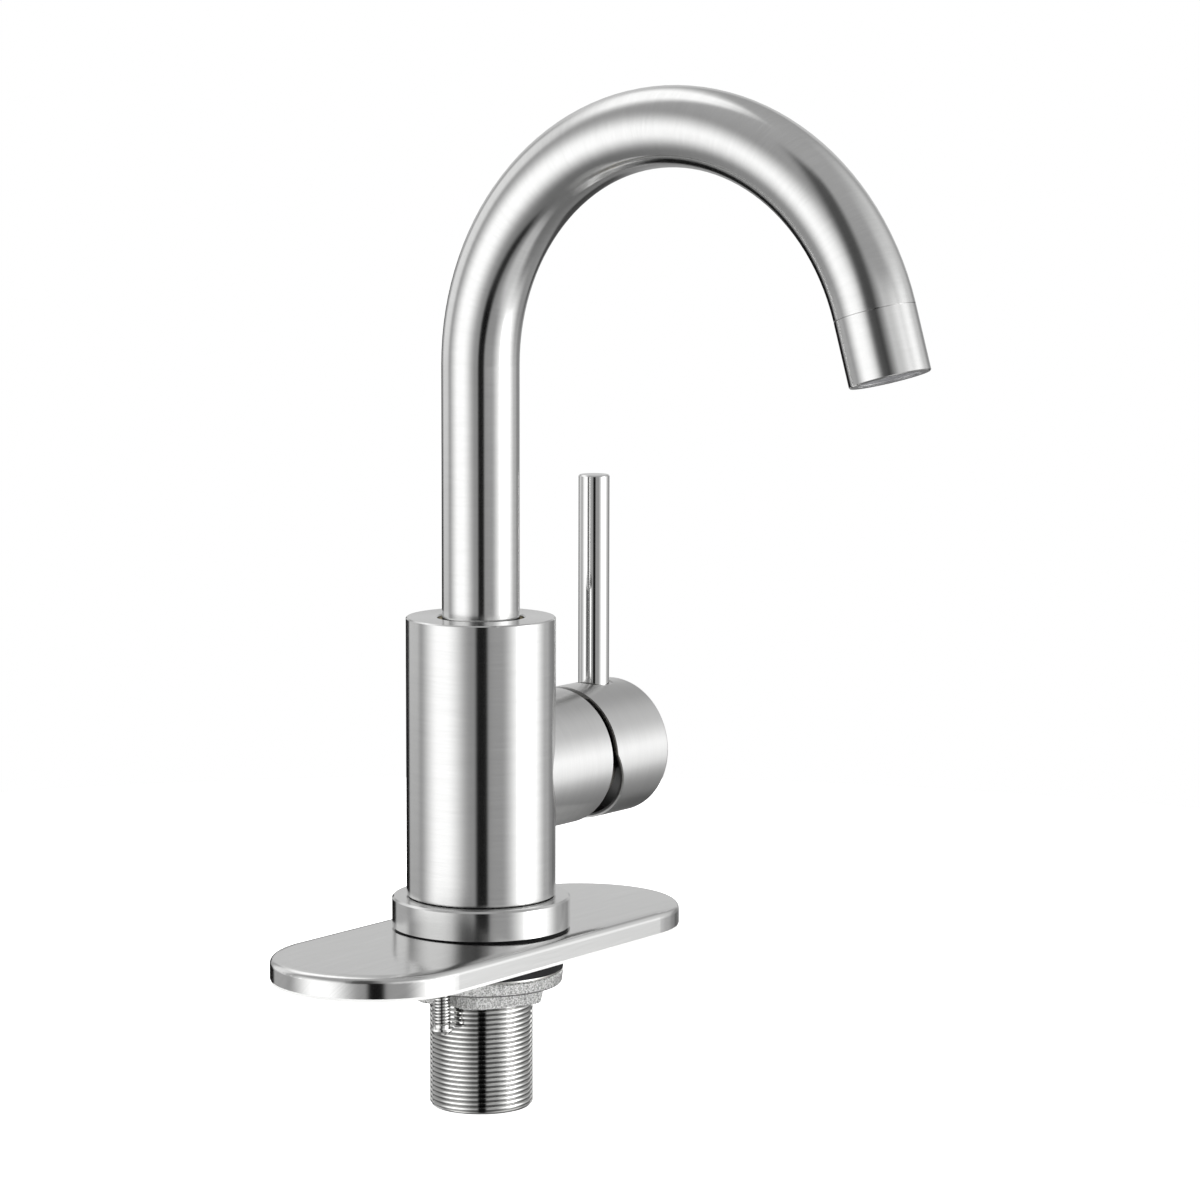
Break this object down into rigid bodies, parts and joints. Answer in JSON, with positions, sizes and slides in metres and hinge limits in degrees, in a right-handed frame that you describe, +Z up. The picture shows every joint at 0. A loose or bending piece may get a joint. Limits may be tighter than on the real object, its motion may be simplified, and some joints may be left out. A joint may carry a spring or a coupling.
{
  "type": "gooseneck bar faucet",
  "caption": "Single-hole bar faucet: round column body, swivelling gooseneck spout, side mixer handle with a slim upright lever, oval deck plate and threaded shank.",
  "frame": {"origin": "on the shank's axis, at the underside of the deck plate's underlay, where the faucet meets the worktop", "axes": "+Z up the shank and body, +X towards the handle, and the spout reaches towards -Y at rest"},
  "size_m": [0.165, 0.1901, 0.3135],
  "materials": {
    "brushed_metal": "brushed nickel, fine round-the-axis lines",
    "satin_tube": "satin brushed nickel tube",
    "plate_metal": "brushed stainless sheet, rolled edges",
    "rod_metal": "fine brushed, near polished",
    "shank_metal": "nickel plated machined thread",
    "cast_zinc": "grainy die-cast grey",
    "plated_steel": "zinc plated",
    "machined_brass": "machined",
    "white_plastic": "moulded",
    "grey_plastic": "moulded",
    "black_rubber": "moulded, matte",
    "ceramic": "lapped alumina ceramic"
  },
  "bodies": {
    "root": {"deck_plate": "plate_metal", "deck_plate_underlay": "white_plastic", "threaded_shank": "shank_metal", "rubber_washer": "black_rubber", "steel_washer": "plated_steel", "mounting_nut": "cast_zinc", "jam_screws": "plated_steel", "base_seal": "black_rubber", "base_ring": "brushed_metal", "body_gasket": "black_rubber", "body_casting": "brushed_metal", "spout_thrust_washer": "grey_plastic", "spout_bearing": "grey_plastic", "spout_gland_ring": "machined_brass", "cartridge_base": "white_plastic", "cartridge_port_seals": "black_rubber", "cartridge_housing": "white_plastic", "cartridge_nut": "plated_steel", "ceramic_disc_fixed": "ceramic"},
    "spout": {"spout_tube": "satin_tube", "spout_spigot": "machined_brass", "spigot_o_ring_lower": "black_rubber", "spigot_o_ring_upper": "black_rubber", "outlet_nipple": "machined_brass", "outlet_sleeve": "satin_tube", "aerator_seal": "black_rubber", "aerator_body": "grey_plastic", "aerator_screen": "grey_plastic"},
    "rotor": {"cartridge_rotor": "grey_plastic", "pivot_pin": "plated_steel"},
    "handle": {"handle_cap": "brushed_metal", "lever_rod": "rod_metal", "handle_set_screw": "plated_steel", "cartridge_stem": "plated_steel"},
    "moving_disc": {"ceramic_disc_moving": "ceramic", "disc_carrier": "grey_plastic"}
  },
  "joints": [
    {"name": "spout_swivel", "type": "hinge", "parent": "root", "child": "spout", "pos_m": [0, 0, 0.1], "axis": [0, 0, 1], "continuous": true},
    {"name": "handle_temperature", "type": "hinge", "parent": "root", "child": "rotor", "pos_m": [0.041, 0, 0.056], "axis": [1, 0, 0], "range_deg": [-50, 50]},
    {"name": "handle_lift", "type": "hinge", "parent": "rotor", "child": "handle", "pos_m": [0.041, 0, 0.056], "axis": [0, 1, 0], "range_deg": [0, 25]},
    {"name": "disc_slide", "type": "slide", "parent": "rotor", "child": "moving_disc", "axis": [0, 0, 1], "range_m": [0, 0.0046]}
  ],
  "couplings": [
    {"joint": "disc_slide", "follows": "handle_lift", "m_per_rad": 0.01025}
  ]
}
